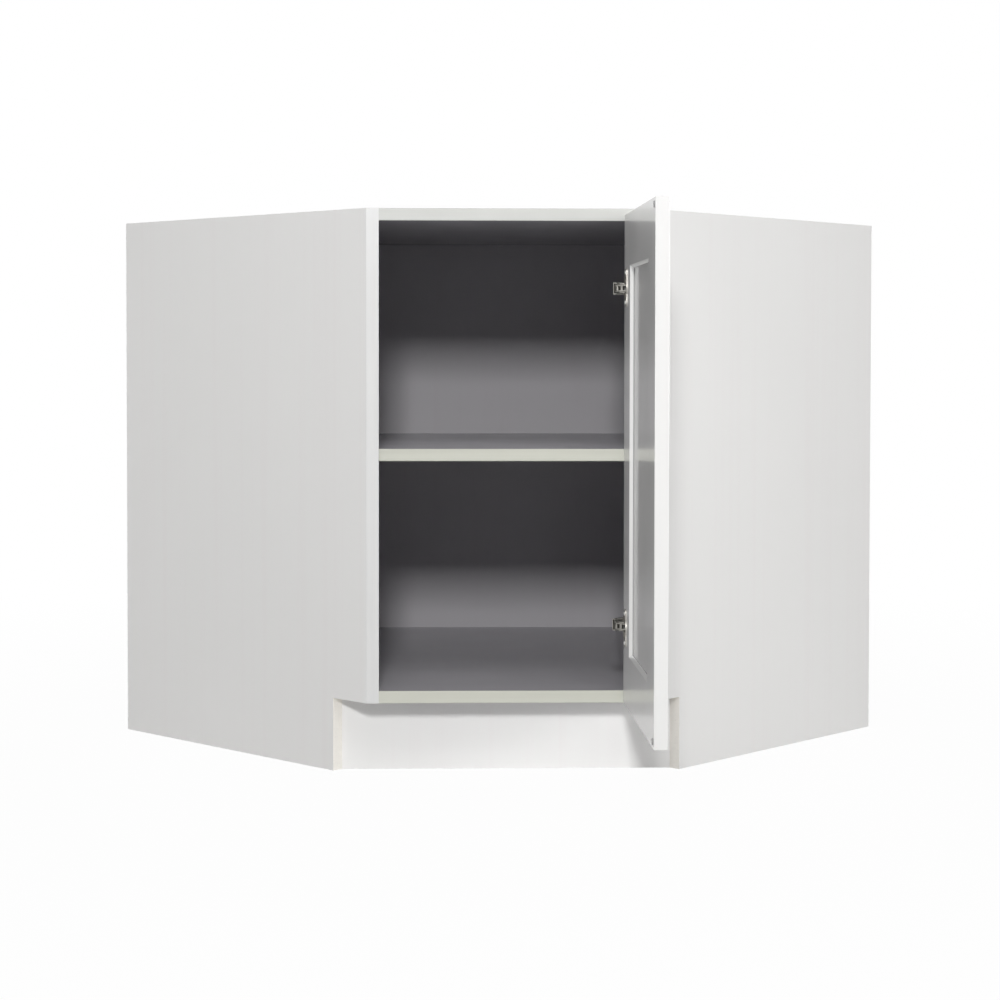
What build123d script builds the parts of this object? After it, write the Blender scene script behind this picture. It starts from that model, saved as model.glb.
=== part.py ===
from build123d import *
from math import cos, radians, sin, sqrt
import os

# Diagonal corner base cabinet in millimetres, +Z up, floor at z = 0.
# Drawn with the open face on y = 0 and the room corner towards +Y, the door open to the right.
# export() moves everything so that the origin is the middle of the toe-kick board's foot.

# Case
WALL_RUN = 914.4
SIDE_DEPTH = 606.4
BACK_WIDTH = 609.6
CASE_HEIGHT = 876.3
BOARD = 19.0
BACK_BOARD = 12.0
TOE_HEIGHT = 114.3
TOE_DEPTH = 76.2
FRONT_LAND = 19.0
SIDE_BAND = 1.0
FRONT_BAND = 2.0
BAND_ROUND = 1.2

# Shelf and its pins
SHELF_RISE = 354.2
SHELF_SETBACK = 12.0
SHELF_REAR_GAP = 130.8
SHELF_GAP = 1.5
PIN_RADIUS = 2.5
PIN_HOLE_DEPTH = 10.0
PIN_PEG = 9.5
PIN_COLLAR_RADIUS = 4.0
PIN_COLLAR = 1.2
PIN_SUPPORT = (8.5, 6.0, 4.0)
PIN_PITCH = 32.0
PIN_ROWS = 3
PIN_FRONT_INSET = 60.0
PIN_REAR_INSET = 109.6

# Dowels, screws and blocks that hold the case together
DOWEL_RADIUS = 4.0
DOWEL_IN_SIDE = 12.0
DOWEL_IN_SHELF = 18.0
DOWEL_SLACK = 1.0
DOWEL_INSET = 120.0
DOWEL_ROWS = 3
SCREW_RADIUS = 2.0
SCREW_HEAD_RADIUS = 4.0
SCREW_HEAD = 3.0
SCREW_LENGTH = 38.0
SCREW_TIP = 4.0
WALL_SCREW_INSET = 70.0
BACK_SCREW_INSET = 105.0
BLOCK_LEG = 30.0
BLOCK_FLOOR_GAP = 14.3

# Door
SIDE_REVEAL = 17.0
TOP_REVEAL = 10.0
BOTTOM_REVEAL = 2.7
DOOR_THICK = 20.0
DOOR_GAP = 2.0
DOOR_OPEN = 91.0
FRAME_WIDTH = 84.0
BEVEL_WIDTH = 4.0
BEVEL_DEPTH = 5.0
PANEL_THICK = 9.0
PANEL_BACK = 6.5
GROOVE_DEPTH = 10.0
PANEL_SLACK = 1.0
TONGUE_SLACK = 0.5
INNER_CHAMFER = 1.5
DOOR_ROUND = 1.2
BUMPER_RADIUS = 5.0
BUMPER_THICK = 1.7
BUMPER_INSET = 10.0

# Concealed corner hinge: cup bored in the door
UPPER_HINGE_DROP = 112.3
LOWER_HINGE_RISE = 118.0
CUP_CENTRE = 22.5
CUP_RADIUS = 17.5
CUP_WALL = 1.3
CUP_DEPTH = 12.2
CUP_FLOOR = 1.0
FLANGE_THICK = 1.4
FLANGE_RADIUS = 20.0
FLANGE_CENTRE = 32.0
FLANGE_SIZE = (16.0, 58.0)
FLANGE_ROUND = 6.0
CUP_SCREW_RISE = 22.5
CUP_SCREW_RADIUS = 1.9
CUP_SCREW_DEPTH = 12.5
CUP_SCREW_HEAD_RADIUS = 3.9
CUP_SCREW_HEAD = 1.6
CUP_MOUTH_HALF = 7.7
CHEEK_END = 18.5
CHEEK_DEPTH = 5.6

# Hinge linkage with the door closed. Arm pivots and link bows are measured in from the door's
# hinge edge and back from the face plane, cup pivots in from that edge and outwards from the
# door's inner face.
ARM_LONG_AT = (33.695, 6.761)
ARM_SHORT_AT = (33.458, -10.192)
CUP_PIVOT_LONG = (9.608, 2.441)
CUP_PIVOT_SHORT = (14.983, 2.970)
LONG_BOW_AT = (15.829, -17.232)
SHORT_BOW_AT = (15.380, -9.925)
SHORT_END_AT = (16.150, -6.180)
LONG_TURN = -0.377
SHORT_TURN = -0.581
WIDEST_OPEN = 106.0
SWEEP_STEPS = 14
SHORTEST_STEP = 0.1
PIVOT_RADIUS = 1.0
CUP_PIN_RADIUS = 0.8
RUNNING_GAP = 0.06
SLOT_GAP = 0.08
SLOT_WALL = 0.8
PIN_PASSING_GAP = 0.15
LONG_HALF_WIDTH = 2.0
LONG_EYE = 2.25
LONG_LEVELS = (5.7, 7.1)
LONG_PIN_HALF = 10.2
SHORT_HALF_WIDTH = 1.9
SHORT_EYE = 2.15
SHORT_LEVELS = (3.3, 5.2)
SHORT_BRIDGE = (0.25, 0.42)
SHORT_BRIDGE_HALF = 1.5
LUG_RADIUS = 1.9
LUG_HALF = 2.9
LUG_SLANT = 1.0

# Hinge arm and mounting plate, in runs along the side panel and rises off its inner face.
# The arm's nose is measured from the pivot of the long link.
ARM_SHEET = 1.4
ARM_CHEEKS = (7.6, 9.2)
ARM_RISE = 18.4
ARM_EDGE = 9.5
ARM_RUNS = (14.0, 20.0, 80.0)
NOSE_TOP = ((-3.0, 4.15), (15.2, 4.15))
NOSE_BOTTOM = ((13.2, -5.15), (2.2, -3.05), (-3.0, -2.25))
TONGUE_ROOT = (10.2, 1.75)
TONGUE_HALF = 3.0
TONGUE_RADIUS = 2.2
BARREL_HALF = 5.4
ARM_PIN_HALF = 9.2
SHORT_PIN_HALF = 5.2
PLATE_SPINE = (22.0, 76.0)
PLATE_SPINE_HALF = 7.3
PLATE_WING = (27.0, 47.0)
PLATE_WING_HALF = 24.0
PLATE_WING_THICK = 2.2
PLATE_WING_ROUND = 5.0
PLATE_SCREW_RUN = 37.0
PLATE_SCREW_RISE = 16.0
PLATE_SCREW_RADIUS = 2.5
PLATE_SCREW_DEPTH = 12.0
PLATE_SCREW_HEAD_RADIUS = 4.3
PLATE_SCREW_HEAD = 2.0
PLATE_WINDOW = (30.0, 52.0, 4.5, 12.5)
CLAMP_RUN = 65.0
CLAMP_RADIUS = 2.5
CLAMP_DEPTH = 11.0
CLAMP_HEAD_RADIUS = 4.2
CLAMP_HEAD = 2.2
ADJUST_RUN = 27.0
ADJUST_RADIUS = 2.0
ADJUST_DEPTH = 9.0
ADJUST_HEAD_RADIUS = 3.2
ADJUST_HEAD = 1.4
DRIVE_WIDTH = 1.0
DRIVE_REACH = 0.55
DRIVE_DEPTH = 0.6

# How far a cutting solid runs past the face it opens
OVERCUT = 2.0

ROOT2 = sqrt(2.0)
RUN = (1.0 / ROOT2, 1.0 / ROOT2)
INTO = (-1.0 / ROOT2, 1.0 / ROOT2)
ACROSS = (1.0, 0.0)
STANDING = (Align.CENTER, Align.CENTER, Align.MIN)
HANGING = (Align.CENTER, Align.CENTER, Align.MAX)


def step(point, direction, distance):
    """Plan point a distance along a direction."""
    return (point[0] + direction[0] * distance, point[1] + direction[1] * distance)


def crossing(p, d, q, e):
    """Where the plan line through p along d meets the line through q along e."""
    det = d[0] * e[1] - d[1] * e[0]
    reach = ((q[0] - p[0]) * e[1] - (q[1] - p[1]) * e[0]) / det
    return step(p, d, reach)


def flip(points):
    """Mirror image of plan points, left for right, in the opposite order."""
    return [(-x, y) for x, y in reversed(points)]


def outline(points):
    return make_face(Polyline(*points, close=True))


def prism(points, bottom, top):
    """Upright prism over a plan outline."""
    return Pos(0, 0, bottom) * extrude(outline(points), top - bottom, dir=(0, 0, 1))


def slab(face, low, high):
    """Upright solid over a plan face between two levels."""
    return Pos(0, 0, low) * extrude(face, high - low, dir=(0, 0, 1))


def layer(face, height, half):
    """Upright solid over a plan face, as far above a level as below it."""
    return slab(face, height - half, height + half)


def corners(near, far):
    """Plan rectangle between two opposite corners."""
    return [near, (far[0], near[1]), far, (near[0], far[1])]


def bar(origin, direction, radius, start, end):
    """Round bar along a direction, from start to end measured from the origin."""
    axis = Plane(origin=origin, z_dir=direction)
    return axis * Pos(0, 0, start) * Cylinder(radius, end - start, align=STANDING)


def both(shape):
    """A right-hand solid and its left-hand mirror image."""
    return [shape, mirror(shape, about=Plane.YZ)]


def cut(shape, tools):
    for tool in tools:
        shape = shape - tool
    return shape


def level(point, height):
    return (point[0], point[1], height)


def space(direction):
    return (direction[0], direction[1], 0.0)


def spread(first, last, count):
    """Even places from first to last."""
    return [first + (last - first) * index / (count - 1) for index in range(count)]


# Plan of the case, right-hand half
HALF_FACE = (WALL_RUN - SIDE_DEPTH) / ROOT2
LAND_X = HALF_FACE - FRONT_LAND


def side_point(run, rise):
    """Plan point a run behind the right front corner and a rise in from the side panel's outer face."""
    return step(step((HALF_FACE, 0.0), RUN, run), INTO, rise)


SIDE_END = side_point(SIDE_DEPTH, 0.0)
CLIP = crossing(SIDE_END, INTO, (BACK_WIDTH / 2, 0.0), (0.0, 1.0))
WALL_LENGTH = (CLIP[1] - SIDE_END[1]) * ROOT2
SIDE_FACE = side_point(0.0, BOARD)
INNER_CORNER = crossing(SIDE_FACE, RUN, (LAND_X, 0.0), (0.0, 1.0))
WALL_START = side_point(SIDE_DEPTH, BOARD)
WALL_FACE = side_point(SIDE_DEPTH - BACK_BOARD, BOARD)
MITRE = crossing(WALL_FACE, INTO, (0.0, CLIP[1] - BACK_BOARD), ACROSS)
TOE_FACE = side_point(TOE_DEPTH, BOARD)[1]
ORIGIN_Y = TOE_FACE + BOARD / 2
BOTTOM_MIDDLE = TOE_HEIGHT + BOARD / 2
TOP_MIDDLE = CASE_HEIGHT - BOARD / 2
SHELF_UNDERSIDE = TOE_HEIGHT + BOARD + SHELF_RISE
PIN_HEIGHT = SHELF_UNDERSIDE - PIN_SUPPORT[2] / 2

# Door in its closed place
DOOR_WIDTH = 2 * (HALF_FACE - SIDE_REVEAL)
DOOR_BOTTOM = TOE_HEIGHT + BOTTOM_REVEAL
DOOR_TOP = CASE_HEIGHT - TOP_REVEAL
DOOR_HEIGHT = DOOR_TOP - DOOR_BOTTOM
PANEL_FRONT = PANEL_BACK + PANEL_THICK
HINGE_HEIGHTS = {"upper": DOOR_TOP - UPPER_HINGE_DROP, "lower": DOOR_BOTTOM + LOWER_HINGE_RISE}


def door_point(u, v):
    """Plan point u in from the door's hinge edge and v outwards from its inner face."""
    return (DOOR_WIDTH / 2 - u, -DOOR_GAP - v)


def beside_edge(place):
    """Plan point from its distances in from the door's hinge edge and back from the face plane."""
    return (DOOR_WIDTH / 2 - place[0], place[1])


ARM_PIVOT_LONG = beside_edge(ARM_LONG_AT)
ARM_PIVOT_SHORT = beside_edge(ARM_SHORT_AT)
CUP_LONG = door_point(*CUP_PIVOT_LONG)
CUP_SHORT = door_point(*CUP_PIVOT_SHORT)


def export(name, shape):
    """Write one piece, or a group of like pieces, in the shared frame."""
    solids = shape if isinstance(shape, list) else [shape]
    moved = [Pos(0, -ORIGIN_Y, 0) * solid for solid in solids]
    piece = moved[0] if len(moved) == 1 else Compound(children=moved)
    export_step(piece, os.path.join("parts", name + ".step"))


def wood_screw():
    """Countersunk screw pointing down, head top at z = 0."""
    profile = Polyline(
        (0.0, 0.0),
        (SCREW_HEAD_RADIUS, 0.0),
        (SCREW_RADIUS, -SCREW_HEAD),
        (SCREW_RADIUS, SCREW_TIP - SCREW_LENGTH),
        (0.0, -SCREW_LENGTH),
        close=True,
    )
    return revolve(Plane.XZ * make_face(profile), Axis.Z)


def pan_screw(radius, depth, head_radius, head):
    """Pan-head screw pointing down, head seated at z = 0, with a cross recess."""
    top = Cone(head_radius, head_radius - head / 2, head, align=STANDING)
    shank = Cylinder(radius, depth, align=HANGING)
    groove = Box(2 * head_radius * DRIVE_REACH, DRIVE_WIDTH, head * DRIVE_DEPTH, align=HANGING)
    groove = Pos(0, 0, head) * groove
    return top + shank - groove - Rot(0, 0, 90) * groove


def aimed(shape, origin, direction):
    """Place a screw drawn pointing down so that its head faces the direction."""
    return Plane(origin=origin, z_dir=direction) * shape


def case_dowels():
    """Right-hand dowels with the holes they need in the side panel and in the bottom and top."""
    dowels, side_holes, deck_holes = [], [], []
    for height in (BOTTOM_MIDDLE, TOP_MIDDLE):
        for run in spread(DOWEL_INSET, SIDE_DEPTH - DOWEL_INSET, DOWEL_ROWS):
            spot = level(side_point(run, BOARD), height)
            dowels.append(bar(spot, space(INTO), DOWEL_RADIUS, -DOWEL_IN_SIDE, DOWEL_IN_SHELF))
            side_holes.append(bar(spot, space(INTO), DOWEL_RADIUS, -DOWEL_IN_SIDE - DOWEL_SLACK, 0))
            deck_holes.append(bar(spot, space(INTO), DOWEL_RADIUS, 0, DOWEL_IN_SHELF + DOWEL_SLACK))
    return dowels, side_holes, deck_holes


def screw_spots():
    """Outer points and outward directions of the screws through the wall panels and the back panel."""
    spots = []
    for height in (BOTTOM_MIDDLE, TOP_MIDDLE):
        for run in (WALL_SCREW_INSET, WALL_LENGTH - WALL_SCREW_INSET):
            point = step(SIDE_END, INTO, run)
            spots.append(("right", level(point, height), space(RUN)))
            spots.append(("left", (-point[0], point[1], height), (-RUN[0], RUN[1], 0.0)))
        for way in (-1, 1):
            across = way * (BACK_WIDTH / 2 - BACK_SCREW_INSET)
            spots.append(("back", (across, CLIP[1], height), (0.0, 1.0, 0.0)))
    return spots


def pin_spots():
    """Right-hand pin columns: the panel each is in, its inner-face point and the way into the room."""
    middle = step(WALL_FACE, INTO, (MITRE[1] - WALL_FACE[1]) / ROOT2)
    return [
        ("side", level(side_point(PIN_FRONT_INSET, BOARD), PIN_HEIGHT), space(INTO)),
        ("side", level(side_point(SIDE_DEPTH - PIN_REAR_INSET, BOARD), PIN_HEIGHT), space(INTO)),
        ("wall", level(middle, PIN_HEIGHT), (-RUN[0], -RUN[1], 0.0)),
    ]


def shelf_pin(spot, direction):
    """Peg, thin collar and flat-topped support of one shelf pin."""
    frame = Plane(origin=spot, x_dir=direction, z_dir=(0, 0, 1))
    pin = bar(spot, direction, PIN_RADIUS, -PIN_PEG, PIN_COLLAR)
    pin += bar(spot, direction, PIN_COLLAR_RADIUS, 0, PIN_COLLAR)
    return pin + frame * Box(*PIN_SUPPORT, align=(Align.MIN, Align.CENTER, Align.CENTER))


def pin_holes(spot, direction):
    holes = []
    for row in range(PIN_ROWS):
        rise = (row - PIN_ROWS // 2) * PIN_PITCH
        holes.append(bar((spot[0], spot[1], spot[2] + rise), direction, PIN_RADIUS, -PIN_HOLE_DEPTH, 0))
    return holes


def hinge_frame(height):
    """Local x runs along the right side panel, local y rises off its inner face, local z is up."""
    return Plane(origin=level(INNER_CORNER, height), x_dir=space(RUN), z_dir=(0, 0, 1))


def hinge_spot(run, height):
    return level(step(INNER_CORNER, RUN, run), height)


def plate_screw_spots():
    spots = []
    for height in HINGE_HEIGHTS.values():
        for rise in (-PLATE_SCREW_RISE, PLATE_SCREW_RISE):
            spots.append(hinge_spot(PLATE_SCREW_RUN, height + rise))
    return spots


def build_case():
    dowels, side_holes, deck_holes = case_dowels()
    panel = prism(
        [(LAND_X, SIDE_BAND), (HALF_FACE + SIDE_BAND, SIDE_BAND), SIDE_END, WALL_START, INNER_CORNER],
        0,
        CASE_HEIGHT,
    )
    notch_plan = [
        side_point(-FRONT_LAND, -OVERCUT),
        side_point(TOE_DEPTH, -OVERCUT),
        side_point(TOE_DEPTH, BOARD + OVERCUT),
        side_point(-FRONT_LAND, BOARD + OVERCUT),
    ]
    panel = cut(panel - prism(notch_plan, -OVERCUT, TOE_HEIGHT), side_holes)
    wall = prism([WALL_START, CLIP, MITRE, WALL_FACE], 0, CASE_HEIGHT)
    for place, spot, direction in pin_spots():
        if place == "side":
            panel = cut(panel, pin_holes(spot, direction))
        else:
            wall = cut(wall, pin_holes(spot, direction))
    left_panel = mirror(panel, about=Plane.YZ)
    left_wall = mirror(wall, about=Plane.YZ)
    for spot in plate_screw_spots():
        panel -= bar(spot, space(INTO), PLATE_SCREW_RADIUS, -PLATE_SCREW_DEPTH, 0)
    back = prism([CLIP, (-CLIP[0], CLIP[1]), (-MITRE[0], MITRE[1]), MITRE], 0, CASE_HEIGHT)

    deck_half = [(LAND_X, FRONT_BAND), INNER_CORNER, WALL_FACE, MITRE]
    deck_plan = deck_half + flip(deck_half)
    bottom = prism(deck_plan, TOE_HEIGHT, TOE_HEIGHT + BOARD)
    top = prism(deck_plan, CASE_HEIGHT - BOARD, CASE_HEIGHT)
    every_deck_hole = [hole for half in deck_holes for hole in both(half)]
    bottom = cut(bottom, every_deck_hole)
    top = cut(top, every_deck_hole)

    screws = []
    walls = {"right": wall, "left": left_wall, "back": back}
    for place, spot, direction in screw_spots():
        screw = aimed(wood_screw(), spot, direction)
        walls[place] = walls[place] - screw
        bottom = bottom - screw
        top = top - screw
        screws.append(screw)

    export("right_side_panel", panel)
    export("left_side_panel", left_panel)
    export("right_wall_panel", walls["right"])
    export("left_wall_panel", walls["left"])
    export("back_panel", walls["back"])
    export("bottom_panel", bottom)
    export("top_panel", top)
    export("back_screws", screws)
    export("case_dowels", [dowel for half in dowels for dowel in both(half)])


def front_band(half_width, front, bottom):
    """Edge band on the front of a level board, its two long front arrises rounded."""
    plan = [half_width(front), half_width(front + FRONT_BAND)]
    band = prism(plan + flip(plan), bottom, bottom + BOARD)
    front_edges = band.edges().filter_by(Axis.X).group_by(Axis.Y)[0]
    return fillet(front_edges, BAND_ROUND)


def build_edges_and_shelf():
    side_band = prism(
        [(LAND_X, 0.0), (HALF_FACE, 0.0), (HALF_FACE + SIDE_BAND, SIDE_BAND), (LAND_X, SIDE_BAND)],
        TOE_HEIGHT,
        CASE_HEIGHT,
    )
    export("side_edge_bands", both(side_band))
    export("bottom_edge_band", front_band(lambda y: (LAND_X, y), 0.0, TOE_HEIGHT))
    export("top_edge_band", front_band(lambda y: (LAND_X, y), 0.0, CASE_HEIGHT - BOARD))

    side_line = step(SIDE_FACE, INTO, SHELF_GAP)
    wall_line = step(WALL_FACE, RUN, -SHELF_GAP)

    def at_side(y):
        return crossing(side_line, RUN, (0.0, y), ACROSS)

    shelf_half = [
        at_side(SHELF_SETBACK + FRONT_BAND),
        crossing(side_line, RUN, wall_line, INTO),
        crossing(wall_line, INTO, (0.0, MITRE[1] - SHELF_REAR_GAP), ACROSS),
    ]
    export("shelf", prism(shelf_half + flip(shelf_half), SHELF_UNDERSIDE, SHELF_UNDERSIDE + BOARD))
    export("shelf_edge_band", front_band(at_side, SHELF_SETBACK, SHELF_UNDERSIDE))
    pins = [shelf_pin(spot, direction) for _, spot, direction in pin_spots()]
    export("shelf_pins", [pin for half in pins for pin in both(half)])


def build_toe_kick():
    """Recessed board between the side panels and the blocks glued behind it."""
    front = crossing(SIDE_FACE, RUN, (0.0, TOE_FACE), ACROSS)
    rear = crossing(SIDE_FACE, RUN, (0.0, TOE_FACE + BOARD), ACROSS)
    export("toe_kick_board", prism([front, rear] + flip([front, rear]), 0, TOE_HEIGHT))
    near = step(rear, ACROSS, -BLOCK_LEG)
    block = prism(
        [near, rear, step(rear, RUN, BLOCK_LEG), step(near, RUN, BLOCK_LEG)],
        BLOCK_FLOOR_GAP,
        TOE_HEIGHT,
    )
    export("toe_kick_blocks", both(block))


def frame_profile():
    """Half section of the door frame: width from the outer edge, depth from the inner face."""
    return [
        (0.0, 0.0),
        (FRAME_WIDTH - BEVEL_WIDTH, 0.0),
        (FRAME_WIDTH, BEVEL_DEPTH),
        (FRAME_WIDTH, PANEL_BACK),
        (FRAME_WIDTH - GROOVE_DEPTH, PANEL_BACK),
        (FRAME_WIDTH - GROOVE_DEPTH, PANEL_FRONT),
        (FRAME_WIDTH, PANEL_FRONT),
        (FRAME_WIDTH, DOOR_THICK - INNER_CHAMFER),
        (FRAME_WIDTH - INNER_CHAMFER, DOOR_THICK),
        (0.0, DOOR_THICK),
    ]


def turn(point, centre, angle):
    """Plan point turned about a centre."""
    a = radians(angle)
    x = point[0] - centre[0]
    y = point[1] - centre[1]
    return (centre[0] + x * cos(a) - y * sin(a), centre[1] + x * sin(a) + y * cos(a))


def placed(pivot, angle, target):
    """Location that turns about an upright axis and carries that axis to a target."""
    return Pos(target[0], target[1], 0) * Rot(0, 0, angle) * Pos(-pivot[0], -pivot[1], 0)


def long_pivot(opening):
    """Where the long link carries its cup pivot at a door opening."""
    return turn(CUP_LONG, ARM_PIVOT_LONG, LONG_TURN * opening)


DOOR_REST = placed(CUP_LONG, DOOR_OPEN, long_pivot(DOOR_OPEN))
LONG_REST = placed(ARM_PIVOT_LONG, LONG_TURN * DOOR_OPEN, ARM_PIVOT_LONG)
SHORT_REST = placed(ARM_PIVOT_SHORT, SHORT_TURN * DOOR_OPEN, ARM_PIVOT_SHORT)


def seen_by_short_link(door_spot, opening):
    """A door point's place at an opening as the short link sees it, in the link's closed place."""
    carried = turn(door_spot, CUP_LONG, opening)
    target = long_pivot(opening)
    moved = (carried[0] + target[0] - CUP_LONG[0], carried[1] + target[1] - CUP_LONG[1])
    return turn(moved, ARM_PIVOT_SHORT, -SHORT_TURN * opening)


def swept_track(door_spot, radius):
    """Plan face that a round pin at a door point sweeps in the short link over the whole swing."""
    openings = [WIDEST_OPEN * index / SWEEP_STEPS for index in range(SWEEP_STEPS + 1)]
    path = [seen_by_short_link(door_spot, opening) for opening in openings]
    track = capsule(path[0], path[1], radius)
    for start, end in zip(path[1:], path[2:]):
        track += capsule(start, end, radius)
    return track


def cup_screw_spots(height):
    place = door_point(FLANGE_CENTRE, 0.0)
    return [level(place, height - CUP_SCREW_RISE), level(place, height + CUP_SCREW_RISE)]


def build_door():
    centre = door_point(DOOR_WIDTH / 2, DOOR_THICK / 2)
    envelope = Pos(*centre, DOOR_BOTTOM) * Box(DOOR_WIDTH, DOOR_THICK, DOOR_HEIGHT, align=STANDING)
    envelope = fillet(envelope.edges().filter_by(Axis.Y, reverse=True), DOOR_ROUND)

    hinge_stile = prism([door_point(u, v) for u, v in frame_profile()], DOOR_BOTTOM, DOOR_TOP)
    free_stile = mirror(hinge_stile, about=Plane.YZ)
    rail_start = -DOOR_WIDTH / 2 + FRAME_WIDTH - GROOVE_DEPTH + TONGUE_SLACK
    rails = {}
    for name, edge, way in (("bottom", DOOR_BOTTOM, 1), ("top", DOOR_TOP, -1)):
        section = [(-DOOR_GAP - v, edge + way * w) for w, v in frame_profile()]
        face = Plane.YZ.offset(rail_start) * make_face(Polyline(*section, close=True))
        rail = extrude(face, -2 * rail_start, dir=(1, 0, 0))
        rails[name] = (rail - hinge_stile - free_stile) & envelope
    hinge_stile = hinge_stile & envelope
    free_stile = free_stile & envelope
    for height in HINGE_HEIGHTS.values():
        bore = level(door_point(CUP_CENTRE, 0.0), height)
        hinge_stile -= bar(bore, (0, -1, 0), CUP_RADIUS, -OVERCUT, CUP_DEPTH)
        for spot in cup_screw_spots(height):
            hinge_stile -= bar(spot, (0, -1, 0), CUP_SCREW_RADIUS, -OVERCUT, CUP_SCREW_DEPTH - FLANGE_THICK)

    margin = FRAME_WIDTH - GROOVE_DEPTH + PANEL_SLACK
    panel_plan = corners(door_point(margin, PANEL_BACK), door_point(DOOR_WIDTH - margin, PANEL_FRONT))
    panel = prism(panel_plan, DOOR_BOTTOM + margin, DOOR_TOP - margin)

    bumpers = []
    for height in (DOOR_BOTTOM + BUMPER_INSET, DOOR_TOP - BUMPER_INSET):
        spot = level(door_point(DOOR_WIDTH - BUMPER_INSET, 0.0), height)
        dome = Cone(BUMPER_RADIUS, BUMPER_RADIUS - BUMPER_THICK / 2, BUMPER_THICK, align=STANDING)
        bumpers.append(aimed(dome, spot, (0, 1, 0)))

    export("door_hinge_stile", DOOR_REST * hinge_stile)
    export("door_free_stile", DOOR_REST * free_stile)
    export("door_top_rail", DOOR_REST * rails["top"])
    export("door_bottom_rail", DOOR_REST * rails["bottom"])
    export("door_centre_panel", DOOR_REST * panel)
    export("door_bumpers", [DOOR_REST * pad for pad in bumpers])


def capsule(start, end, radius):
    """Plan face of a bar with round ends."""
    face = Pos(*start) * Circle(radius) + Pos(*end) * Circle(radius)
    length = sqrt((end[0] - start[0]) ** 2 + (end[1] - start[1]) ** 2)
    if length < SHORTEST_STEP:
        return face
    side = ((start[1] - end[1]) / length, (end[0] - start[0]) / length)
    first = [step(start, side, radius), step(start, side, -radius)]
    last = [step(end, side, -radius), step(end, side, radius)]
    return face + outline(first + last)


def two_arcs(points):
    """Curve through five points as two arcs."""
    return ThreePointArc(*points[:3]) + ThreePointArc(*points[2:])


def bowed(start, bow, end, half_width, low=0.0, high=1.0):
    """Plan face of a strip along a quadratic curve, between two shares of its length."""
    left, right = [], []
    for t in spread(low, high, 5):
        s = 1 - t
        point = tuple(s ** 2 * a + 2 * s * t * b + t ** 2 * c for a, b, c in zip(start, bow, end))
        slope = [s * (b - a) + t * (c - b) for a, b, c in zip(start, bow, end)]
        size = sqrt(slope[0] ** 2 + slope[1] ** 2)
        normal = (-slope[1] / size, slope[0] / size)
        left.append(step(point, normal, half_width))
        right.insert(0, step(point, normal, -half_width))
    return make_face(two_arcs(left) + Line(left[-1], right[0]) + two_arcs(right) + Line(right[-1], left[0]))


def eye(centre, radius):
    return Pos(*centre) * Circle(radius)


def build_hinge_cups():
    """Cup, flange, cheeks beside the mouth and the lug for the short link, with pins and screws."""
    cheek_plan = corners(door_point(0.0, 0.0), door_point(CHEEK_END, CHEEK_DEPTH))
    mouth_start = door_point(-OVERCUT, -FLANGE_THICK - OVERCUT)
    mouth_plan = corners(mouth_start, door_point(CHEEK_END + OVERCUT, CUP_DEPTH - CUP_FLOOR))
    lug_foot = door_point(CUP_PIVOT_SHORT[0] + LUG_SLANT, CUP_DEPTH - CUP_FLOOR / 2 - LUG_RADIUS)
    screws, pins = [], []
    for name, height in HINGE_HEIGHTS.items():
        centre = level(door_point(CUP_CENTRE, 0.0), height)
        cup = bar(centre, (0, -1, 0), CUP_RADIUS, 0, CUP_DEPTH)
        hollow = bar(centre, (0, -1, 0), CUP_RADIUS - CUP_WALL, -FLANGE_THICK, CUP_DEPTH - CUP_FLOOR)
        back = Plane(origin=centre, x_dir=(-1, 0, 0), z_dir=(0, 1, 0))
        shape = Circle(FLANGE_RADIUS)
        shape += Pos(FLANGE_CENTRE - CUP_CENTRE, 0) * RectangleRounded(*FLANGE_SIZE, FLANGE_ROUND)
        cup = cup + extrude(back * shape, FLANGE_THICK, dir=(0, 1, 0)) - hollow

        cheeks = layer(outline(cheek_plan), height, CUP_RADIUS)
        cup += cheeks & bar(centre, (0, -1, 0), CUP_RADIUS - CUP_WALL / 2, 0, CUP_DEPTH)
        cup -= layer(outline(mouth_plan), height, CUP_MOUTH_HALF)
        cup += layer(capsule(CUP_SHORT, lug_foot, LUG_RADIUS), height, LUG_HALF)
        cup -= layer(eye(CUP_SHORT, CUP_PIN_RADIUS), height, LUG_HALF)
        cup -= layer(eye(CUP_LONG, CUP_PIN_RADIUS + RUNNING_GAP), height, LONG_PIN_HALF + RUNNING_GAP)
        for spot in cup_screw_spots(height):
            cup -= bar(spot, (0, 1, 0), CUP_SCREW_RADIUS, -OVERCUT, FLANGE_THICK + OVERCUT)
            seat = (spot[0], spot[1] + FLANGE_THICK, spot[2])
            screw = pan_screw(CUP_SCREW_RADIUS, CUP_SCREW_DEPTH, CUP_SCREW_HEAD_RADIUS, CUP_SCREW_HEAD)
            screws.append(DOOR_REST * aimed(screw, seat, (0, 1, 0)))
        pins.append(DOOR_REST * layer(eye(CUP_SHORT, CUP_PIN_RADIUS), height, SHORT_PIN_HALF))
        export(name + "_hinge_cup", DOOR_REST * cup)
    export("hinge_cup_screws", screws)
    export("hinge_cup_pins", pins)


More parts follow.
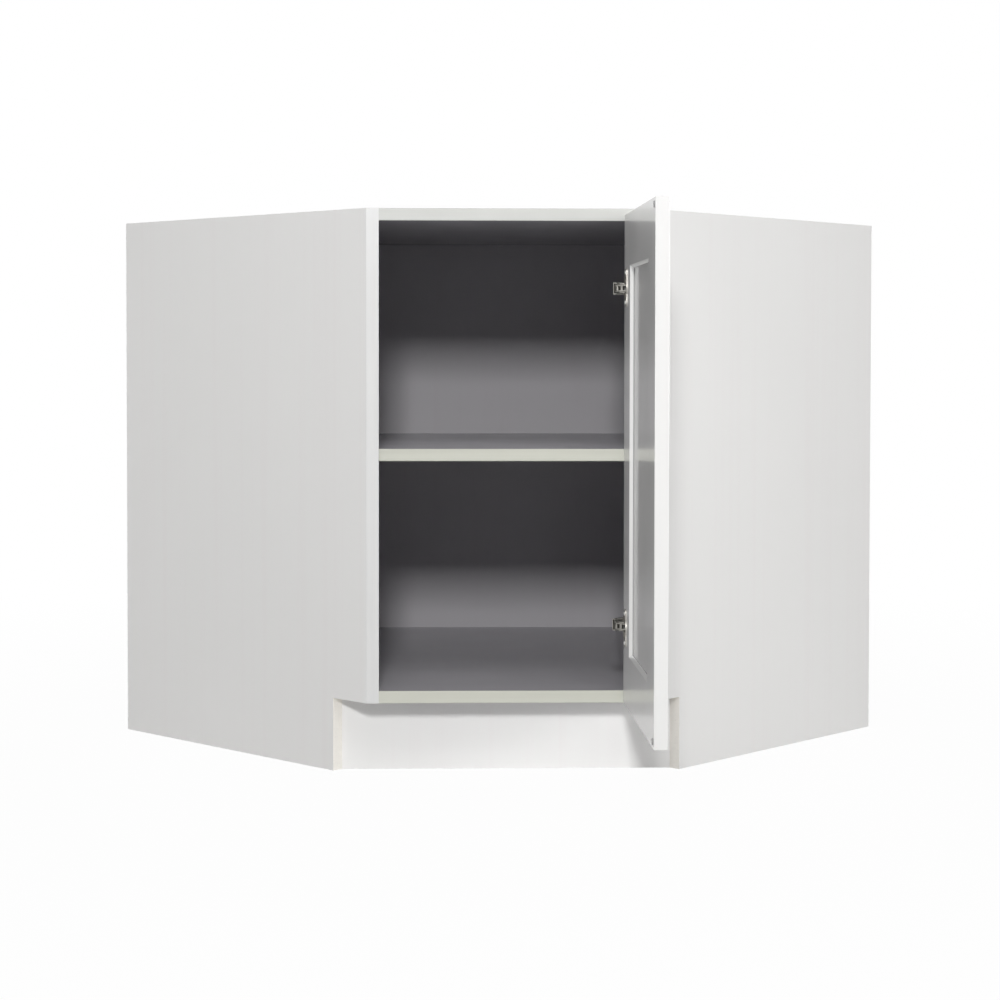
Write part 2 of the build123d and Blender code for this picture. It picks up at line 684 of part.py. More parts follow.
def build_links():
    """Two-plate long links riveted on their cup pins, and short links with a running slot at the cup."""
    long_face = bowed(ARM_PIVOT_LONG, beside_edge(LONG_BOW_AT), CUP_LONG, LONG_HALF_WIDTH)
    long_face += eye(ARM_PIVOT_LONG, LONG_EYE) + eye(CUP_LONG, LONG_EYE)
    long_face -= eye(ARM_PIVOT_LONG, PIVOT_RADIUS + RUNNING_GAP)
    long_face -= eye(CUP_LONG, CUP_PIN_RADIUS)

    short_line = (ARM_PIVOT_SHORT, beside_edge(SHORT_BOW_AT), beside_edge(SHORT_END_AT))
    short_face = bowed(*short_line, SHORT_HALF_WIDTH)
    short_face += eye(ARM_PIVOT_SHORT, SHORT_EYE)
    short_face += swept_track(CUP_SHORT, CUP_PIN_RADIUS + SLOT_GAP + SLOT_WALL)
    short_face -= swept_track(CUP_LONG, CUP_PIN_RADIUS + PIN_PASSING_GAP)
    short_face -= swept_track(CUP_SHORT, CUP_PIN_RADIUS + SLOT_GAP)
    short_face -= eye(ARM_PIVOT_SHORT, PIVOT_RADIUS + RUNNING_GAP)
    bridge_face = bowed(*short_line, SHORT_BRIDGE_HALF, *SHORT_BRIDGE)

    link_pins = []
    for name, height in HINGE_HEIGHTS.items():
        plates = []
        for way in (1, -1):
            low, high = sorted(way * side for side in LONG_LEVELS)
            plates.append(LONG_REST * slab(long_face, height + low, height + high))
        link_pins.append(LONG_REST * layer(eye(CUP_LONG, CUP_PIN_RADIUS), height, LONG_PIN_HALF))
        link = layer(bridge_face, height, SHORT_LEVELS[1])
        for way in (1, -1):
            low, high = sorted(way * side for side in SHORT_LEVELS)
            link += slab(short_face, height + low, height + high)
        export(name + "_long_link", plates)
        export(name + "_short_link", SHORT_REST * link)
    export("long_link_pins", link_pins)


def hinge_local(point):
    """Plan point in the runs and rises of the hinge frame."""
    x = point[0] - INNER_CORNER[0]
    y = point[1] - INNER_CORNER[1]
    return (x * RUN[0] + y * RUN[1], x * INTO[0] + y * INTO[1])


def from_pivot(offsets):
    """Points of the hinge frame from their offsets to the long link's pivot."""
    pivot = hinge_local(ARM_PIVOT_LONG)
    return [(pivot[0] + run, pivot[1] + rise) for run, rise in offsets]


def build_arms():
    """Bent sheet arms with the tongue that carries the pivots, mounting plates, pins and screws."""
    pivot_long = hinge_local(ARM_PIVOT_LONG)
    pivot_short = hinge_local(ARM_PIVOT_SHORT)
    spine_top = ARM_RISE - ARM_SHEET
    top_line = from_pivot(NOSE_TOP) + [(ARM_RUNS[1], ARM_RISE), (ARM_RUNS[2], ARM_RISE)]
    low_line = [(ARM_RUNS[2], ARM_EDGE), (ARM_RUNS[0], ARM_EDGE)] + from_pivot(NOSE_BOTTOM)
    web = outline(top_line + [(run, rise - ARM_SHEET) for run, rise in reversed(top_line)])
    cheek = outline(top_line + low_line) - eye(pivot_long, PIVOT_RADIUS)
    tongue = capsule(pivot_short, pivot_long, TONGUE_RADIUS)
    tongue += capsule(pivot_long, from_pivot([TONGUE_ROOT])[0], TONGUE_RADIUS)
    tongue -= eye(pivot_short, PIVOT_RADIUS)
    tongue -= eye(pivot_long, PIVOT_RADIUS)
    barrel = eye(pivot_long, TONGUE_RADIUS) - eye(pivot_long, PIVOT_RADIUS)
    spine_runs = (PLATE_SPINE[0] + PLATE_SPINE[1]) / 2
    wing_runs = (PLATE_WING[0] + PLATE_WING[1]) / 2
    window = PLATE_WINDOW

    arm_pins, plate_screws, arm_screws = [], [], []
    for name, height in HINGE_HEIGHTS.items():
        frame = hinge_frame(height)
        arm = layer(web, 0, ARM_CHEEKS[1]) + layer(tongue, 0, TONGUE_HALF) + layer(barrel, 0, BARREL_HALF)
        for way in (1, -1):
            low, high = sorted(way * side for side in ARM_CHEEKS)
            arm += slab(cheek, low, high)
        plate = Pos(spine_runs, 0, 0) * Box(
            PLATE_SPINE[1] - PLATE_SPINE[0],
            spine_top,
            2 * PLATE_SPINE_HALF,
            align=(Align.CENTER, Align.MIN, Align.CENTER),
        )
        plate -= Pos((window[0] + window[1]) / 2, (window[2] + window[3]) / 2, 0) * Box(
            window[1] - window[0], window[3] - window[2], 2 * (PLATE_SPINE_HALF + OVERCUT)
        )
        wing_face = Plane.XZ * Pos(wing_runs, 0) * RectangleRounded(
            PLATE_WING[1] - PLATE_WING[0], 2 * PLATE_WING_HALF, PLATE_WING_ROUND
        )
        plate += extrude(wing_face, PLATE_WING_THICK, dir=(0, 1, 0))
        for rise in (-PLATE_SCREW_RISE, PLATE_SCREW_RISE):
            spot = (PLATE_SCREW_RUN, 0.0, rise)
            plate -= bar(spot, (0, 1, 0), PLATE_SCREW_RADIUS, -OVERCUT, PLATE_WING_THICK + OVERCUT)
            length = PLATE_SCREW_DEPTH + PLATE_WING_THICK
            screw = pan_screw(PLATE_SCREW_RADIUS, length, PLATE_SCREW_HEAD_RADIUS, PLATE_SCREW_HEAD)
            seat = (PLATE_SCREW_RUN, PLATE_WING_THICK, rise)
            plate_screws.append(frame * aimed(screw, seat, (0, 1, 0)))
        for run, radius, depth, head_radius, head in (
            (CLAMP_RUN, CLAMP_RADIUS, CLAMP_DEPTH, CLAMP_HEAD_RADIUS, CLAMP_HEAD),
            (ADJUST_RUN, ADJUST_RADIUS, ADJUST_DEPTH, ADJUST_HEAD_RADIUS, ADJUST_HEAD),
        ):
            seat = (run, ARM_RISE, 0.0)
            hole = bar(seat, (0, -1, 0), radius, -OVERCUT, depth)
            arm -= hole
            plate -= hole
            arm_screws.append(frame * aimed(pan_screw(radius, depth, head_radius, head), seat, (0, 1, 0)))
        arm_pins.append(frame * layer(eye(pivot_long, PIVOT_RADIUS), 0, ARM_PIN_HALF))
        arm_pins.append(frame * layer(eye(pivot_short, PIVOT_RADIUS), 0, SHORT_PIN_HALF))
        export(name + "_hinge_arm", frame * arm)
        export(name + "_mounting_plate", frame * plate)
    export("hinge_arm_pins", arm_pins)
    export("hinge_plate_screws", plate_screws)
    export("hinge_arm_screws", arm_screws)


os.makedirs("parts", exist_ok=True)
build_case()
build_edges_and_shelf()
build_toe_kick()
build_door()
build_hinge_cups()
build_links()
build_arms()
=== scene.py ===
from math import cos, radians, sin, sqrt

import bpy
from mathutils import Matrix, Vector

# Diagonal corner base cabinet, in metres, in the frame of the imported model: +X is right,
# +Y goes into the room corner and the floor is z = 0. All pieces are the model's own. This
# script gives them their finishes, and sets up the floor, the lamps and the camera.

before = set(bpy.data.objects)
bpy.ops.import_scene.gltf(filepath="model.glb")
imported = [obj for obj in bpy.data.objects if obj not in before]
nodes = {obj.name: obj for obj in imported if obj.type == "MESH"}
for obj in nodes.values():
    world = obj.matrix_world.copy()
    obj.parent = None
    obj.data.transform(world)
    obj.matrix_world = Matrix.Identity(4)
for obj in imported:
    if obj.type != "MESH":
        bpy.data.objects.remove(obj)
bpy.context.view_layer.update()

# Camera of the photograph: place, turns in degrees, and lens in millimetres
CAMERA_PLACE = (-0.1031, -3.3577, 0.6584)
CAMERA_YAW = 1.581
CAMERA_PITCH = 1.693
CAMERA_ROLL = 0.076
CAMERA_LEVEL = 90.0
SENSOR = 36.0
FOCAL = 76.885
SHIFT_DOWN = 0.0864
CLIP_END = 60.0

# Ways across the upright panels, from the outer side to the inner side
DIAGONAL = 1.0 / sqrt(2.0)
PANELS_INWARD = {
    "right_side_panel": (-DIAGONAL, DIAGONAL, 0.0),
    "left_side_panel": (DIAGONAL, DIAGONAL, 0.0),
    "right_wall_panel": (-DIAGONAL, -DIAGONAL, 0.0),
    "left_wall_panel": (DIAGONAL, -DIAGONAL, 0.0),
    "back_panel": (0.0, -1.0, 0.0),
}
REARWARD = (0.0, 1.0, 0.0)
UP = (0.0, 0.0, 1.0)
DOWN = (0.0, 0.0, -1.0)

# The way across the open door, from its hinge edge to its free edge, turned from +X
DOOR_TURN = radians(-89.0)

# How squarely a face looks a given way to count as that side of a board, or as a gap's wall that
# gets painted shade
SIDE_LOOK = 0.6
GAP_LOOK = 0.9

# Colours, linear light
WHITE = (1.0, 1.0, 1.0)
PAINT = (0.80, 0.795, 0.785)
INSIDE_GREY = (0.53, 0.518, 0.54)
DECK_GREY = (0.46, 0.45, 0.475)
# Toe kick paint, lighter than PAINT: painted light that offsets the shade from the door and the
# overhang
TOE_PAINT_WITH_PAINTED_LIGHT = (0.93, 0.925, 0.915)
RAW_BOARD = (0.98, 0.95, 0.89)
BAND_WHITE = (0.75, 0.75, 0.745)
BAND_GREY = (0.62, 0.625, 0.60)
BAND_CREAM = (0.64, 0.645, 0.57)
LACQUER = (0.77, 0.766, 0.757)
BEECH = (0.62, 0.42, 0.24)
NICKEL = (0.46, 0.445, 0.41)
ARM_STEEL = (0.27, 0.262, 0.24)
ZINC = (0.50, 0.50, 0.48)
CLEAR_PAD = (0.5, 0.5, 0.49)

# Patterns of noise: scale, detail and roughness
PAINT_CLOUDS = (2.2, 2.0, 0.5)
PAINT_STREAKS = (55.0, 4.0, 0.6)
PAINT_SKIN = (900.0, 2.0, 0.5)
BOARD_CHIPS = (420.0, 2.0, 0.7)
BOARD_LAYERS = (60.0, 2.0, 0.5)
OUTER_PATCHES = (9.0, 3.0, 0.5)
INNER_PATCHES = (14.0, 3.0, 0.5)
DECK_PATCHES = (7.0, 3.0, 0.5)
BAND_GRAIN = (90.0, 4.0, 0.6)
BAND_PATCHES = (30.0, 3.0, 0.5)
BAND_SKIN = (1200.0, 2.0, 0.5)
LACQUER_PATCHES = (6.0, 3.0, 0.5)
METAL_CLOUDS = (120.0, 3.0, 0.5)
METAL_PATCHES = (160.0, 3.0, 0.5)
METAL_SCRATCHES = (1800.0, 3.0, 0.6)
BEECH_GRAIN = (240.0, 6.0, 0.65)
BEECH_PORES = (700.0, 4.0, 0.6)
PAD_CLOUDS = (500.0, 3.0, 0.5)

# Run of a pattern along x, y and z: a low number draws it out that way
EVEN = (1.0, 1.0, 1.0)
OUTER_RUN = (1.0, 1.0, 0.012)
INNER_RUN = (1.0, 1.0, 0.05)
DECK_RUN = (0.05, 1.0, 1.0)
UPRIGHT_BAND_RUN = (1.0, 1.0, 0.03)
LEVEL_BAND_RUN = (0.03, 1.0, 1.0)
UPRIGHT_DOOR_RUN = (1.0, 1.0, 0.02)
LEVEL_DOOR_RUN = (1.0, 0.02, 1.0)
BEECH_RUN = (1.0, 1.0, 0.12)
PORE_RUN = (1.0, 1.0, 0.1)
BRUSHED_RUN = (1.0, 1.0, 0.1)

# Steps of tone: place in the noise, and share of the colour there
CLOUD_STEPS = ((0.3, 0.99), (0.7, 1.008))
CHIP_STEPS = ((0.25, 0.90), (0.42, 0.98), (0.75, 1.0))
LAYER_STEPS = ((0.35, 0.97), (0.65, 1.0))
BAND_STEPS = ((0.25, 0.95), (0.5, 1.0), (0.8, 1.02))
METAL_STEPS = ((0.3, 0.86), (0.7, 1.08))
BEECH_STEPS = ((0.3, 0.75), (0.55, 1.0), (0.8, 1.15))
STREAK_TINTS = ((0.30, (0.992, 0.984, 0.986)), (0.5, WHITE), (0.72, (0.996, 1.0, 0.996)))
PATCH_FROM = 0.3
PATCH_TO = 0.7
NEW_STOP_PLACE = 0.5

# Roughness: lowest and highest in its patches, or one value where there are none
OUTER_ROUGHNESS = (0.40, 0.50)
INNER_ROUGHNESS = (0.18, 0.24)
DECK_ROUGHNESS = (0.22, 0.26)
TOP_ROUGHNESS = (0.52, 0.60)
BAND_ROUGHNESS = (0.44, 0.54)
LACQUER_ROUGHNESS = (0.24, 0.27)
NICKEL_ROUGHNESS = (0.38, 0.50)
STEEL_ROUGHNESS = (0.42, 0.55)
ZINC_ROUGHNESS = (0.28, 0.45)
BEECH_ROUGHNESS = 0.6
PAD_ROUGHNESS = 0.25

# Fine relief: strength, and depth in metres
PAINT_RELIEF = (0.05, 0.0002)
BAND_RELIEF = (0.06, 0.0001)
METAL_RELIEF = (0.15, 0.0001)
BEECH_RELIEF = (0.2, 0.0002)

# Other values of the finishes
FACING_GLOSS = 0.08
# Share of the lacquer's colour kept on the door frame's gap walls: painted shade for the shadow
# in the gap to the panel
PAINTED_GAP_SHADE = 0.5
LACQUER_COAT = 0.25
LACQUER_COAT_ROUGHNESS = 0.06
PAD_CLEARNESS = 0.45
PAD_IOR = 1.45
PAD_CLOUDINESS = (0.44, 0.56)

# Lamps: place, point aimed at, power, width and height
LAMPS = {
    "key": ((-0.22, -4.18, 2.03), (0.0, 0.3, 0.45), 92.0, 0.44, 0.48),
    "overhead": ((0.0, -1.7, 2.9), (0.0, -0.2, 0.3), 23.0, 1.8, 1.2),
    "left_wing": ((-3.2, -0.6, 0.9), (-0.2, -0.1, 0.45), 21.0, 1.6, 1.6),
    "right_wing": ((2.75, -2.0, 0.8), (0.4, 0.1, 0.45), 40.0, 2.2, 1.6),
    "rear_left": ((-3.0, 3.2, 1.1), (0.0, 0.5, 0.45), 58.0, 1.6, 1.6),
    "rear_right": ((3.0, 3.2, 1.1), (0.0, 0.5, 0.45), 54.0, 1.6, 1.6),
}
AMBIENT = 0.04

# Floor: size, tone, and how white it shows to the eye near the cabinet and further away
FLOOR_SIZE = 24.0
FLOOR_TONE = 0.6
FLOOR_ROUGHNESS = 0.9
WHITE_NEAR = 0.97
WHITE_FAR = 1.0
NEAR_REACH = 0.8
FAR_REACH = 2.6
PLAIN_WHITE = 1.0

# Sockets that Blender's mix nodes know by number only
MIX_FACTOR = 0
MIX_FIRST_COLOUR = 6
MIX_SECOND_COLOUR = 7
MIX_COLOUR_RESULT = 2
MIX_FIRST_SHADER = 1
MIX_SECOND_SHADER = 2


# Helpers for the finishes


def new_finish(name, colour, roughness=0.5, metallic=0.0):
    """Material with one plain surface shader, and the tree it is made of."""
    material = bpy.data.materials.new(name)
    material.use_nodes = True
    tree = material.node_tree
    shader = tree.nodes["Principled BSDF"]
    shader.inputs["Base Color"].default_value = (*colour, 1.0)
    shader.inputs["Roughness"].default_value = roughness
    shader.inputs["Metallic"].default_value = metallic
    return material, tree, shader


def add(tree, kind, **settings):
    node = tree.nodes.new(kind)
    for key, value in settings.items():
        setattr(node, key, value)
    return node


def put(tree, value, socket):
    """Set a socket to a number or a colour, or link it to another."""
    if isinstance(value, float):
        socket.default_value = value
    elif isinstance(value, tuple):
        socket.default_value = (*value, 1.0)
    else:
        tree.links.new(value, socket)


def calculate(tree, operation, first, second):
    node = add(tree, "ShaderNodeMath", operation=operation)
    for socket, value in zip(node.inputs, (first, second)):
        put(tree, value, socket)
    return node.outputs["Value"]


def mix(tree, factor, first, second, blend="MIX"):
    node = add(tree, "ShaderNodeMix", data_type="RGBA", blend_type=blend)
    put(tree, factor, node.inputs[MIX_FACTOR])
    put(tree, first, node.inputs[MIX_FIRST_COLOUR])
    put(tree, second, node.inputs[MIX_SECOND_COLOUR])
    return node.outputs[MIX_COLOUR_RESULT]


def multiply(tree, first, second):
    return mix(tree, 1.0, first, second, "MULTIPLY")


def place_on_piece(tree, run=EVEN):
    place = add(tree, "ShaderNodeTexCoord")
    mapping = add(tree, "ShaderNodeMapping")
    mapping.inputs["Scale"].default_value = run
    tree.links.new(place.outputs["Object"], mapping.inputs["Vector"])
    return mapping.outputs["Vector"]


def noise(tree, pattern, run=EVEN):
    scale, detail, roughness = pattern
    texture = add(tree, "ShaderNodeTexNoise")
    texture.inputs["Scale"].default_value = scale
    texture.inputs["Detail"].default_value = detail
    texture.inputs["Roughness"].default_value = roughness
    tree.links.new(place_on_piece(tree, run), texture.inputs["Vector"])
    return texture.outputs["Fac"]


def ramp(tree, factor, stops):
    """Colours along a factor from 0 to 1."""
    node = add(tree, "ShaderNodeValToRGB")
    elements = node.color_ramp.elements
    while len(elements) < len(stops):
        elements.new(NEW_STOP_PLACE)
    for element, (place, colour) in zip(elements, stops):
        element.position = place
        element.color = (*colour, 1.0)
    tree.links.new(factor, node.inputs["Fac"])
    return node.outputs["Color"]


def shade(colour, share):
    return tuple(min(1.0, channel * share) for channel in colour)


def tones(tree, factor, colour, steps):
    """Darker and lighter tones of one colour along a factor."""
    return ramp(tree, factor, [(place, shade(colour, share)) for place, share in steps])


def patches(tree, pattern, ends):
    """Soft patches that go from a low value to a high one."""
    low, high = ends
    return tones(tree, noise(tree, pattern), WHITE, ((PATCH_FROM, low), (PATCH_TO, high)))


def relief(tree, shader, height, size):
    """Fine relief in the shading of a surface."""
    strength, depth = size
    node = add(tree, "ShaderNodeBump")
    node.inputs["Strength"].default_value = strength
    node.inputs["Distance"].default_value = depth
    tree.links.new(height, node.inputs["Height"])
    tree.links.new(node.outputs["Normal"], shader.inputs["Normal"])


def facing(tree, way):
    """How squarely a face looks along a way of the piece at rest, from -1 to 1.

    The normal is turned back with the piece, so the answer stays when the door swings.
    """
    geometry = add(tree, "ShaderNodeNewGeometry")
    to_piece = add(
        tree,
        "ShaderNodeVectorTransform",
        vector_type="NORMAL",
        convert_from="WORLD",
        convert_to="OBJECT",
    )
    tree.links.new(geometry.outputs["True Normal"], to_piece.inputs["Vector"])
    dot = add(tree, "ShaderNodeVectorMath", operation="DOT_PRODUCT")
    dot.inputs[1].default_value = way
    tree.links.new(to_piece.outputs["Vector"], dot.inputs[0])
    return dot.outputs["Value"]


# Finishes


def painted_colour(tree, colour, run):
    """Sprayed paint: slow clouds and very faint streaks along the board."""
    clouds = tones(tree, noise(tree, PAINT_CLOUDS), colour, CLOUD_STEPS)
    streaks = ramp(tree, noise(tree, PAINT_STREAKS, run), STREAK_TINTS)
    return multiply(tree, clouds, streaks)


def raw_board_colour(tree):
    """Cut edge of particle board: pale chips and a few darker specks."""
    chips = tones(tree, noise(tree, BOARD_CHIPS), RAW_BOARD, CHIP_STEPS)
    layers = tones(tree, noise(tree, BOARD_LAYERS), WHITE, LAYER_STEPS)
    return multiply(tree, chips, layers)


def faced_board(name, inward, colours, runs, patterns, roughness):
    """Board faced on both sides, with raw edges, told apart by where a face looks.

    Colours, runs, patterns and roughness give the outer side first and then the inner one.
    """
    material, tree, shader = new_finish(name, colours[0])
    shader.inputs["Specular IOR Level"].default_value = FACING_GLOSS
    look = facing(tree, inward)
    is_inner = calculate(tree, "GREATER_THAN", look, SIDE_LOOK)
    not_outer = calculate(tree, "GREATER_THAN", look, -SIDE_LOOK)
    is_edge = calculate(tree, "SUBTRACT", not_outer, is_inner)
    paint = [painted_colour(tree, colour, run) for colour, run in zip(colours, runs)]
    colour = mix(tree, is_edge, mix(tree, is_inner, *paint), raw_board_colour(tree))
    tree.links.new(colour, shader.inputs["Base Color"])
    gloss = [patches(tree, pattern, ends) for pattern, ends in zip(patterns, roughness)]
    tree.links.new(mix(tree, is_inner, *gloss), shader.inputs["Roughness"])
    return material, tree, shader


def board_finish(name, inward, outer, inner):
    """Upright board with the fine skin of sprayed paint."""
    material, tree, shader = faced_board(
        name,
        inward,
        (outer, inner),
        (OUTER_RUN, INNER_RUN),
        (OUTER_PATCHES, INNER_PATCHES),
        (OUTER_ROUGHNESS, INNER_ROUGHNESS),
    )
    relief(tree, shader, noise(tree, PAINT_SKIN), PAINT_RELIEF)
    return material


def deck_finish(name, above, roughness_above):
    """Level board, with grey facing on its underside."""
    material, tree, shader = faced_board(
        name,
        UP,
        (DECK_GREY, above),
        (DECK_RUN, DECK_RUN),
        (DECK_PATCHES, DECK_PATCHES),
        (DECK_ROUGHNESS, roughness_above),
    )
    return material


def band_finish(name, colour, run):
    """Thin edge band with a faint grain along it."""
    material, tree, shader = new_finish(name, colour)
    grain = tones(tree, noise(tree, BAND_GRAIN, run), colour, BAND_STEPS)
    tree.links.new(grain, shader.inputs["Base Color"])
    tree.links.new(patches(tree, BAND_PATCHES, BAND_ROUGHNESS), shader.inputs["Roughness"])
    relief(tree, shader, noise(tree, BAND_SKIN, run), BAND_RELIEF)
    return material


def lacquer_finish(name, run, gap=None):
    """Sprayed glossy lacquer, with painted shade where a frame piece looks into its gap to the
    panel.
    """
    material, tree, shader = new_finish(name, LACQUER)
    paint = painted_colour(tree, LACQUER, run)
    if gap:
        # Painted shade: gap walls are darkened in colour, standing in for the shadow in the gap
        # to the panel
        painted_gap_shade_mask = calculate(tree, "GREATER_THAN", facing(tree, gap), GAP_LOOK)
        paint = mix(tree, painted_gap_shade_mask, paint, shade(LACQUER, PAINTED_GAP_SHADE))
    tree.links.new(paint, shader.inputs["Base Color"])
    gloss = patches(tree, LACQUER_PATCHES, LACQUER_ROUGHNESS)
    tree.links.new(gloss, shader.inputs["Roughness"])
    shader.inputs["Coat Weight"].default_value = LACQUER_COAT
    shader.inputs["Coat Roughness"].default_value = LACQUER_COAT_ROUGHNESS
    return material


def metal_finish(name, colour, roughness, run=EVEN):
    """Plated metal with fine scratches and uneven gloss."""
    material, tree, shader = new_finish(name, colour, metallic=1.0)
    tone = tones(tree, noise(tree, METAL_CLOUDS), colour, METAL_STEPS)
    tree.links.new(tone, shader.inputs["Base Color"])
    tree.links.new(patches(tree, METAL_PATCHES, roughness), shader.inputs["Roughness"])
    relief(tree, shader, noise(tree, METAL_SCRATCHES, run), METAL_RELIEF)
    return material


def beech_finish(name):
    """Bare beech: fine grain with short pores."""
    material, tree, shader = new_finish(name, BEECH, BEECH_ROUGHNESS)
    grain = tones(tree, noise(tree, BEECH_GRAIN, BEECH_RUN), BEECH, BEECH_STEPS)
    tree.links.new(grain, shader.inputs["Base Color"])
    relief(tree, shader, noise(tree, BEECH_PORES, PORE_RUN), BEECH_RELIEF)
    return material


def bumper_finish(name):
    """Soft clear pad with a cloudy body."""
    material, tree, shader = new_finish(name, CLEAR_PAD, PAD_ROUGHNESS)
    shader.inputs["Transmission Weight"].default_value = PAD_CLEARNESS
    shader.inputs["IOR"].default_value = PAD_IOR
    cloud = patches(tree, PAD_CLOUDS, PAD_CLOUDINESS)
    tree.links.new(cloud, shader.inputs["Base Color"])
    return material


# Dressing of the cabinet's pieces


def dress(finish, *names):
    """Give pieces of the model a finish."""
    for name in names:
        mesh = nodes[name].data
        mesh.materials.clear()
        mesh.materials.append(finish)


def dress_case():
    for panel, inward in PANELS_INWARD.items():
        finish = panel.replace("_panel", "_paint")
        dress(board_finish(finish, inward, PAINT, INSIDE_GREY), panel)
    # The toe kick's paint is lightened with painted light against the shade of the door and the
    # overhang
    toe_kick = board_finish("toe_kick_paint", REARWARD, TOE_PAINT_WITH_PAINTED_LIGHT, RAW_BOARD)
    dress(toe_kick, "toe_kick_board")
    dress(deck_finish("deck_facing", DECK_GREY, DECK_ROUGHNESS), "bottom_panel", "shelf")
    dress(deck_finish("top_facing", PAINT, TOP_ROUGHNESS), "top_panel")
    dress(band_finish("upright_band", BAND_WHITE, UPRIGHT_BAND_RUN), "side_edge_bands")
    dress(band_finish("top_band", BAND_GREY, LEVEL_BAND_RUN), "top_edge_band")
    level_band = band_finish("level_band", BAND_CREAM, LEVEL_BAND_RUN)
    dress(level_band, "bottom_edge_band", "shelf_edge_band")
    dress(beech_finish("bare_beech"), "case_dowels", "toe_kick_blocks")


def dress_door():
    across = (cos(DOOR_TURN), sin(DOOR_TURN), 0.0)
    back_across = (-across[0], -across[1], 0.0)
    dress(lacquer_finish("panel_lacquer", UPRIGHT_DOOR_RUN), "door_centre_panel")
    # Each frame piece gets painted shade on its walls that look into the gap to the panel
    for piece, finish, run, gap in (
        ("door_hinge_stile", "hinge_stile_lacquer", UPRIGHT_DOOR_RUN, across),
        ("door_free_stile", "free_stile_lacquer", UPRIGHT_DOOR_RUN, back_across),
        ("door_top_rail", "top_rail_lacquer", LEVEL_DOOR_RUN, DOWN),
        ("door_bottom_rail", "bottom_rail_lacquer", LEVEL_DOOR_RUN, UP),
    ):
        dress(lacquer_finish(finish, run, gap), piece)
    dress(bumper_finish("clear_pad"), "door_bumpers")


def dress_fittings():
    nickel = metal_finish("bright_nickel", NICKEL, NICKEL_ROUGHNESS, BRUSHED_RUN)
    zinc = metal_finish("screw_zinc", ZINC, ZINC_ROUGHNESS)
    steel = metal_finish("arm_steel", ARM_STEEL, STEEL_ROUGHNESS, BRUSHED_RUN)
    dress(nickel, "upper_hinge_cup", "lower_hinge_cup", "shelf_pins")
    dress(steel, "upper_hinge_arm", "upper_mounting_plate", "upper_long_link", "upper_short_link")
    dress(steel, "lower_hinge_arm", "lower_mounting_plate", "lower_long_link", "lower_short_link")
    dress(zinc, "hinge_arm_pins", "hinge_cup_pins", "long_link_pins", "back_screws")
    dress(zinc, "hinge_cup_screws", "hinge_plate_screws", "hinge_arm_screws")


# Studio


def white_to_the_eye(tree, surface, white, share):
    """Show white, by its share, to the camera and in gloss and glass, the surface to light."""
    path = add(tree, "ShaderNodeLightPath")
    seen = path.outputs["Is Camera Ray"]
    for way in ("Is Glossy Ray", "Is Transmission Ray"):
        seen = calculate(tree, "MAXIMUM", seen, path.outputs[way])
    blend = add(tree, "ShaderNodeMixShader")
    tree.links.new(calculate(tree, "MULTIPLY", seen, share), blend.inputs[MIX_FACTOR])
    tree.links.new(surface, blend.inputs[MIX_FIRST_SHADER])
    tree.links.new(white, blend.inputs[MIX_SECOND_SHADER])
    return blend.outputs["Shader"]


def share_of_white(tree):
    """How white the floor shows: a little less near the cabinet, to keep its shadow."""
    away = add(tree, "ShaderNodeVectorMath", operation="LENGTH")
    tree.links.new(place_on_piece(tree), away.inputs[0])
    node = add(tree, "ShaderNodeMapRange")
    node.inputs["From Min"].default_value = NEAR_REACH
    node.inputs["From Max"].default_value = FAR_REACH
    node.inputs["To Min"].default_value = WHITE_NEAR
    node.inputs["To Max"].default_value = WHITE_FAR
    tree.links.new(away.outputs["Value"], node.inputs["Value"])
    return node.outputs["Result"]


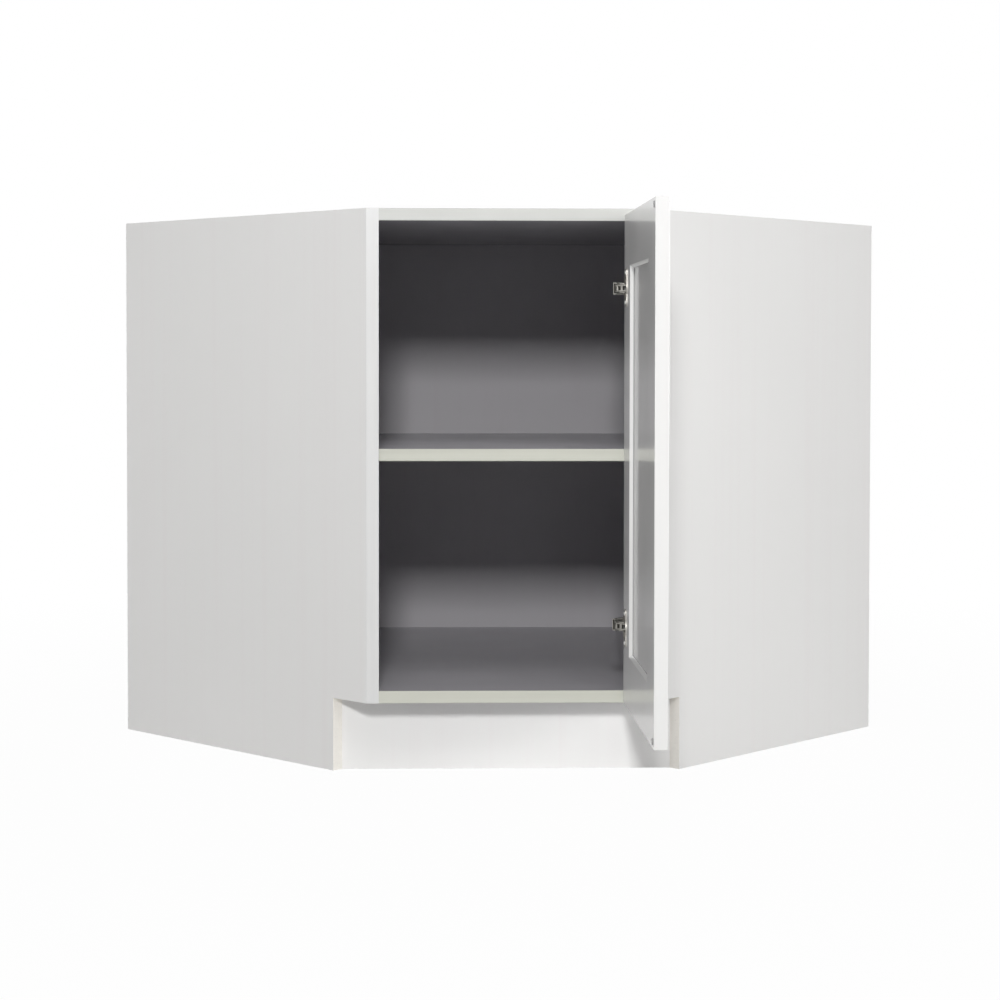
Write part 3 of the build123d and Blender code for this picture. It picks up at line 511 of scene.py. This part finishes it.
def lay_floor():
    bpy.ops.object.select_all(action="DESELECT")
    bpy.ops.mesh.primitive_plane_add(size=FLOOR_SIZE, location=(0.0, 0.0, 0.0))
    floor = bpy.context.object
    floor.name = "studio_floor"
    material, tree, shader = new_finish(
        "studio_floor", shade(WHITE, FLOOR_TONE), FLOOR_ROUGHNESS
    )
    glow = add(tree, "ShaderNodeEmission")
    glow.inputs["Strength"].default_value = PLAIN_WHITE
    mixed = white_to_the_eye(
        tree, shader.outputs["BSDF"], glow.outputs["Emission"], share_of_white(tree)
    )
    tree.links.new(mixed, tree.nodes["Material Output"].inputs["Surface"])
    floor.data.materials.append(material)


def light_surroundings():
    world = bpy.data.worlds.new("studio")
    bpy.context.scene.world = world
    world.use_nodes = True
    tree = world.node_tree
    soft = tree.nodes["Background"]
    bright = add(tree, "ShaderNodeBackground")
    for background, strength in ((soft, AMBIENT), (bright, PLAIN_WHITE)):
        background.inputs["Color"].default_value = (*WHITE, 1.0)
        background.inputs["Strength"].default_value = strength
    mixed = white_to_the_eye(
        tree, soft.outputs["Background"], bright.outputs["Background"], WHITE_FAR
    )
    tree.links.new(mixed, tree.nodes["World Output"].inputs["Surface"])


def hang_lamp(name, place, aim, power, width, height):
    lamp = bpy.data.lights.new(name, "AREA")
    lamp.shape = "RECTANGLE"
    lamp.energy = power
    lamp.size = width
    lamp.size_y = height
    holder = bpy.data.objects.new(name, lamp)
    bpy.context.scene.collection.objects.link(holder)
    holder.location = place
    aimed = (Vector(aim) - Vector(place)).to_track_quat("-Z", "Y")
    holder.rotation_euler = aimed.to_euler()


def turned(degrees, axis):
    return Matrix.Rotation(radians(degrees), 4, axis)


def set_camera():
    camera = bpy.data.cameras.new("photo_camera")
    camera.sensor_width = SENSOR
    camera.lens = FOCAL
    camera.shift_y = -SHIFT_DOWN
    camera.clip_end = CLIP_END
    holder = bpy.data.objects.new("photo_camera", camera)
    bpy.context.scene.collection.objects.link(holder)
    heading = turned(-CAMERA_YAW, "Z") @ turned(CAMERA_LEVEL - CAMERA_PITCH, "X")
    place = Matrix.Translation(CAMERA_PLACE)
    holder.matrix_world = place @ heading @ turned(CAMERA_ROLL, "Z")
    bpy.context.scene.camera = holder


dress_case()
dress_door()
dress_fittings()
lay_floor()
light_surroundings()
for lamp_name, settings in LAMPS.items():
    hang_lamp(lamp_name, *settings)
set_camera()
bpy.context.scene.view_settings.view_transform = "Standard"
